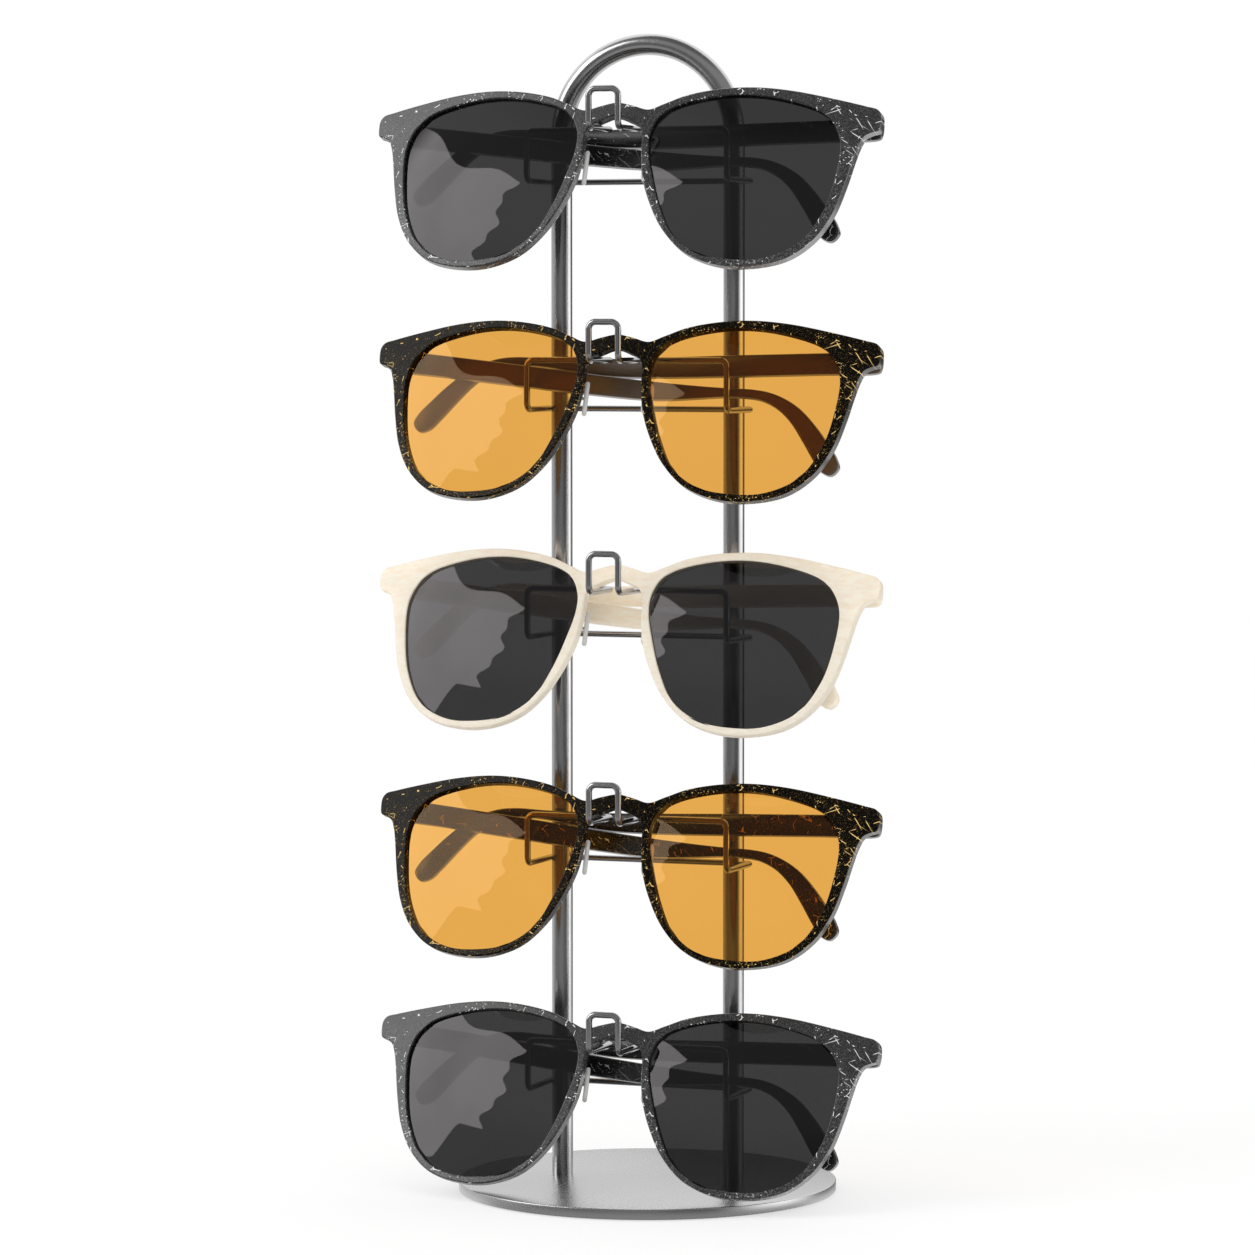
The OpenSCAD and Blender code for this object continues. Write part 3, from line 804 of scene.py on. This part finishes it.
# ---------------------------------------------------------------- room
# angles in radians, distance and height in metres, lens in millimetres and shift in frame widths
CAMERA_TURN, CAMERA_DIP = math.radians(20.0), math.radians(3.386)
CAMERA_DISTANCE, CAMERA_Z = 1.4924, 0.24945
CAMERA_LENS, CAMERA_SHIFT = 150.59, -0.01587
# brightness of the mirrored walls all round: (share of a turn, value), 0.5 is the camera's side
WALLS = [(0.0, 0.14), (0.07, 0.1), (0.14, 0.12), (0.17, 0.5), (0.2, 1.35), (0.245, 1.9), (0.3, 1.5),
         (0.345, 0.4), (0.385, 0.09), (0.44, 0.1), (0.5, 0.2), (0.56, 0.19), (0.63, 0.15), (0.7, 0.17),
         (0.76, 0.38), (0.82, 0.6), (0.9, 0.62), (1.0, 0.95)]
WALLS_MIDDLE = 19.46  # degrees by which the table's middle lies to the right of the rack's front
RAMP_LIMIT = 2.0  # brightness at the top of the colour ramp, which stops at 1
# behind the rack, in shares of a turn from the camera's side, a bright backdrop stands in for the walls
BACKDROP_FROM, BACKDROP_TO, BACKDROP_SHINE = 0.27, 0.36, 0.7
# degrees above the horizon between which the walls give way to the floor and to the ceiling, and between
# which the backdrop's dark foot ends
WALL_FOOT, WALL_HEAD, BACKDROP_FOOT = (-5.0, -14.0), (12.0, 26.0), (4.0, 7.5)
# window that the lenses mirror, in degrees to the left of the rack's front and above the horizon: nearer edge
# and its slant per degree of height, top, sill at its nearer and farther part, and the fade at the far end
WINDOW_NEAR, WINDOW_SLANT, WINDOW_TOP = 31.5, 0.2, 40.0
WINDOW_SILL_FROM, WINDOW_SILL_TO = (44.0, 15.5), (52.0, 5.5)
WINDOW_FADE_FROM, WINDOW_FADE_TO = 74.0, 88.0


def mirrored_walls(tree, left, high):
    """Plain studio seen by mirrors: dark and bright walls, a bright backdrop, a dark floor and ceiling.
    left and high are the angles of a ray in degrees."""
    # one and a half turns more keep the angle positive and put the camera's side in the middle
    turn = calc(tree, "FRACT", calc(tree, "DIVIDE", calc(tree, "ADD", left, WALLS_MIDDLE + 540.0), 360.0))
    ramp = add(tree, "ShaderNodeValToRGB", {0: turn})
    ramp.color_ramp.interpolation = "EASE"
    elements = ramp.color_ramp.elements
    while len(elements) < len(WALLS):
        elements.new(0.5)
    for element, (at, value) in zip(elements, WALLS):
        element.position = at
        element.color = rgba([value / RAMP_LIMIT] * 3)
    value = add(tree, "ShaderNodeSeparateColor", {0: ramp.outputs[0]}).outputs[0]
    walls = calc(tree, "MULTIPLY", value, RAMP_LIMIT)
    from_camera = calc(tree, "ABSOLUTE", calc(tree, "SUBTRACT", turn, 0.5))
    behind = span(tree, from_camera, BACKDROP_FROM, BACKDROP_TO)
    backdrop = product(tree, behind, span(tree, high, *BACKDROP_FOOT))
    walls = blend(tree, backdrop, walls, BACKDROP_SHINE)
    # floor and ceiling are darker straight below and above, and brighter behind the rack than in front
    floor_front = calc(tree, "MULTIPLY", span(tree, high, -60.0, -26.0, 0.2, 1.0), 0.36)
    floor_back = span(tree, high, -70.0, -50.0, 0.1, 0.9)
    ceiling_front = span(tree, high, 48.0, 64.0, 0.3, 0.14)
    ceiling_back = span(tree, high, 62.0, 74.0, 1.2, 0.14)
    walls = blend(tree, span(tree, high, *WALL_FOOT), walls, blend(tree, behind, floor_front, floor_back))
    return blend(tree, span(tree, high, *WALL_HEAD), walls, blend(tree, behind, ceiling_front, ceiling_back))


def mirrored_window(tree, direction, left, high):
    """Bright window to the left of the camera, whose nearer edge and top waver."""
    def wave(angle, rate, size):
        return calc(tree, "MULTIPLY", calc(tree, "SINE", calc(tree, "MULTIPLY", angle, rate)), size)

    def past(angle, edge):
        return span(tree, calc(tree, "SUBTRACT", angle, edge), -0.2, 0.2)

    slant = calc(tree, "MULTIPLY", calc(tree, "SUBTRACT", WINDOW_TOP, high), WINDOW_SLANT)
    sway = calc(tree, "ADD", wave(high, 0.42, 1.6), wave(high, 1.1, 0.9))
    near_edge = calc(tree, "ADD", calc(tree, "ADD", WINDOW_NEAR, slant), sway)
    top = calc(tree, "ADD", WINDOW_TOP, wave(left, 0.19, 1.3))
    sill = span(tree, left, WINDOW_SILL_FROM[0], WINDOW_SILL_TO[0], WINDOW_SILL_FROM[1], WINDOW_SILL_TO[1])
    haze = span(tree, noise(tree, direction, 3.0, 2.0), 0.3, 0.7, 2.55, 3.0)
    return product(tree, past(left, near_edge), past(top, high), past(high, sill),
                   span(tree, left, WINDOW_FADE_TO, WINDOW_FADE_FROM), haze)


def build_world():
    """White room for soft light; mirrored rays see the plain studio and its window instead."""
    world = bpy.data.worlds.new("studio")
    bpy.context.scene.world = world
    world.use_nodes = True
    tree = world.node_tree
    tree.nodes.clear()
    direction = add(tree, "ShaderNodeTexCoord").outputs["Generated"]
    x, y, z = add(tree, "ShaderNodeSeparateXYZ", {0: direction}).outputs
    # angles in degrees: left of the rack's front, and above the horizon
    left = calc(tree, "ARCTAN2", calc(tree, "MULTIPLY", x, -1.0), calc(tree, "MULTIPLY", y, -1.0))
    left = calc(tree, "MULTIPLY", left, 180 / math.pi)
    high = calc(tree, "MULTIPLY", calc(tree, "ARCSINE", z), 180 / math.pi)
    mirror = calc(tree, "MAXIMUM", mirrored_walls(tree, left, high),
                  mirrored_window(tree, direction, left, high))
    rays = add(tree, "ShaderNodeLightPath")
    soft = span(tree, high, -90.0, 90.0, 0.94, 1.08, smooth=False)
    strength = blend(tree, rays.outputs["Is Glossy Ray"], soft, mirror)
    strength = blend(tree, rays.outputs["Is Camera Ray"], strength, 1.0)
    light = add(tree, "ShaderNodeBackground", {"Color": (1, 1, 1, 1), "Strength": strength})
    tree.links.new(light.outputs[0], add(tree, "ShaderNodeOutputWorld").inputs["Surface"])


def build_floor(half=3.0):
    """Plain pale floor, partly lit by itself so that it stays as pale as the backdrop."""
    floor = new_object("floor", [(-half, -half, 0), (half, -half, 0), (half, half, 0), (-half, half, 0)],
                       [(0, 1, 2, 3)], scale=1.0)
    mat, tree = material("floor")
    tone = mix_colour(tree, noise(tree, mm_coords(tree), 0.01), rgba([0.95] * 3), rgba([0.97] * 3))
    shade = add(tree, "ShaderNodeBsdfDiffuse", {"Color": tone}).outputs[0]
    lit = add(tree, "ShaderNodeEmission", {"Color": tone, "Strength": 1.03}).outputs[0]
    finish_surface(tree, mix_shader(tree, 0.6, shade, lit))
    floor.data.materials.append(mat)
    floor.visible_glossy = False
    floor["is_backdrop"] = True


def build_key_light():
    """Large soft light from the front left, not seen in mirrors."""
    data = bpy.data.lights.new("key", "AREA")
    data.shape = "DISK"
    data.size = 1.2
    data.energy = 10
    key = bpy.data.objects.new("key", data)
    key.location = (-1.2, -1.6, 1.6)
    key.rotation_euler = (Vector((0, 0, 0.16)) - key.location).to_track_quat("-Z", "Y").to_euler()
    key.visible_glossy = False
    bpy.context.scene.collection.objects.link(key)


def build_camera():
    """Camera to the right of the front, looking slightly down on the rack."""
    data = bpy.data.cameras.new("camera")
    data.sensor_width = 36
    data.lens = CAMERA_LENS
    data.shift_x = CAMERA_SHIFT
    data.clip_end = 50
    camera = bpy.data.objects.new("camera", data)
    out = Vector((math.sin(CAMERA_TURN), -math.cos(CAMERA_TURN), 0))
    camera.location = out * CAMERA_DISTANCE + Vector((0, 0, CAMERA_Z))
    look = -out * math.cos(CAMERA_DIP) - Vector((0, 0, math.sin(CAMERA_DIP)))
    camera.rotation_euler = look.to_track_quat("-Z", "Y").to_euler()
    bpy.context.scene.collection.objects.link(camera)
    bpy.context.scene.camera = camera


build_world()
build_floor()
build_key_light()
build_camera()
bpy.context.scene.view_settings.view_transform = "Standard"

boxes = {"cad": cad_box, "visual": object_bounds()}
{name: [list(map(float, point)) for point in box] for name, box in boxes.items()}
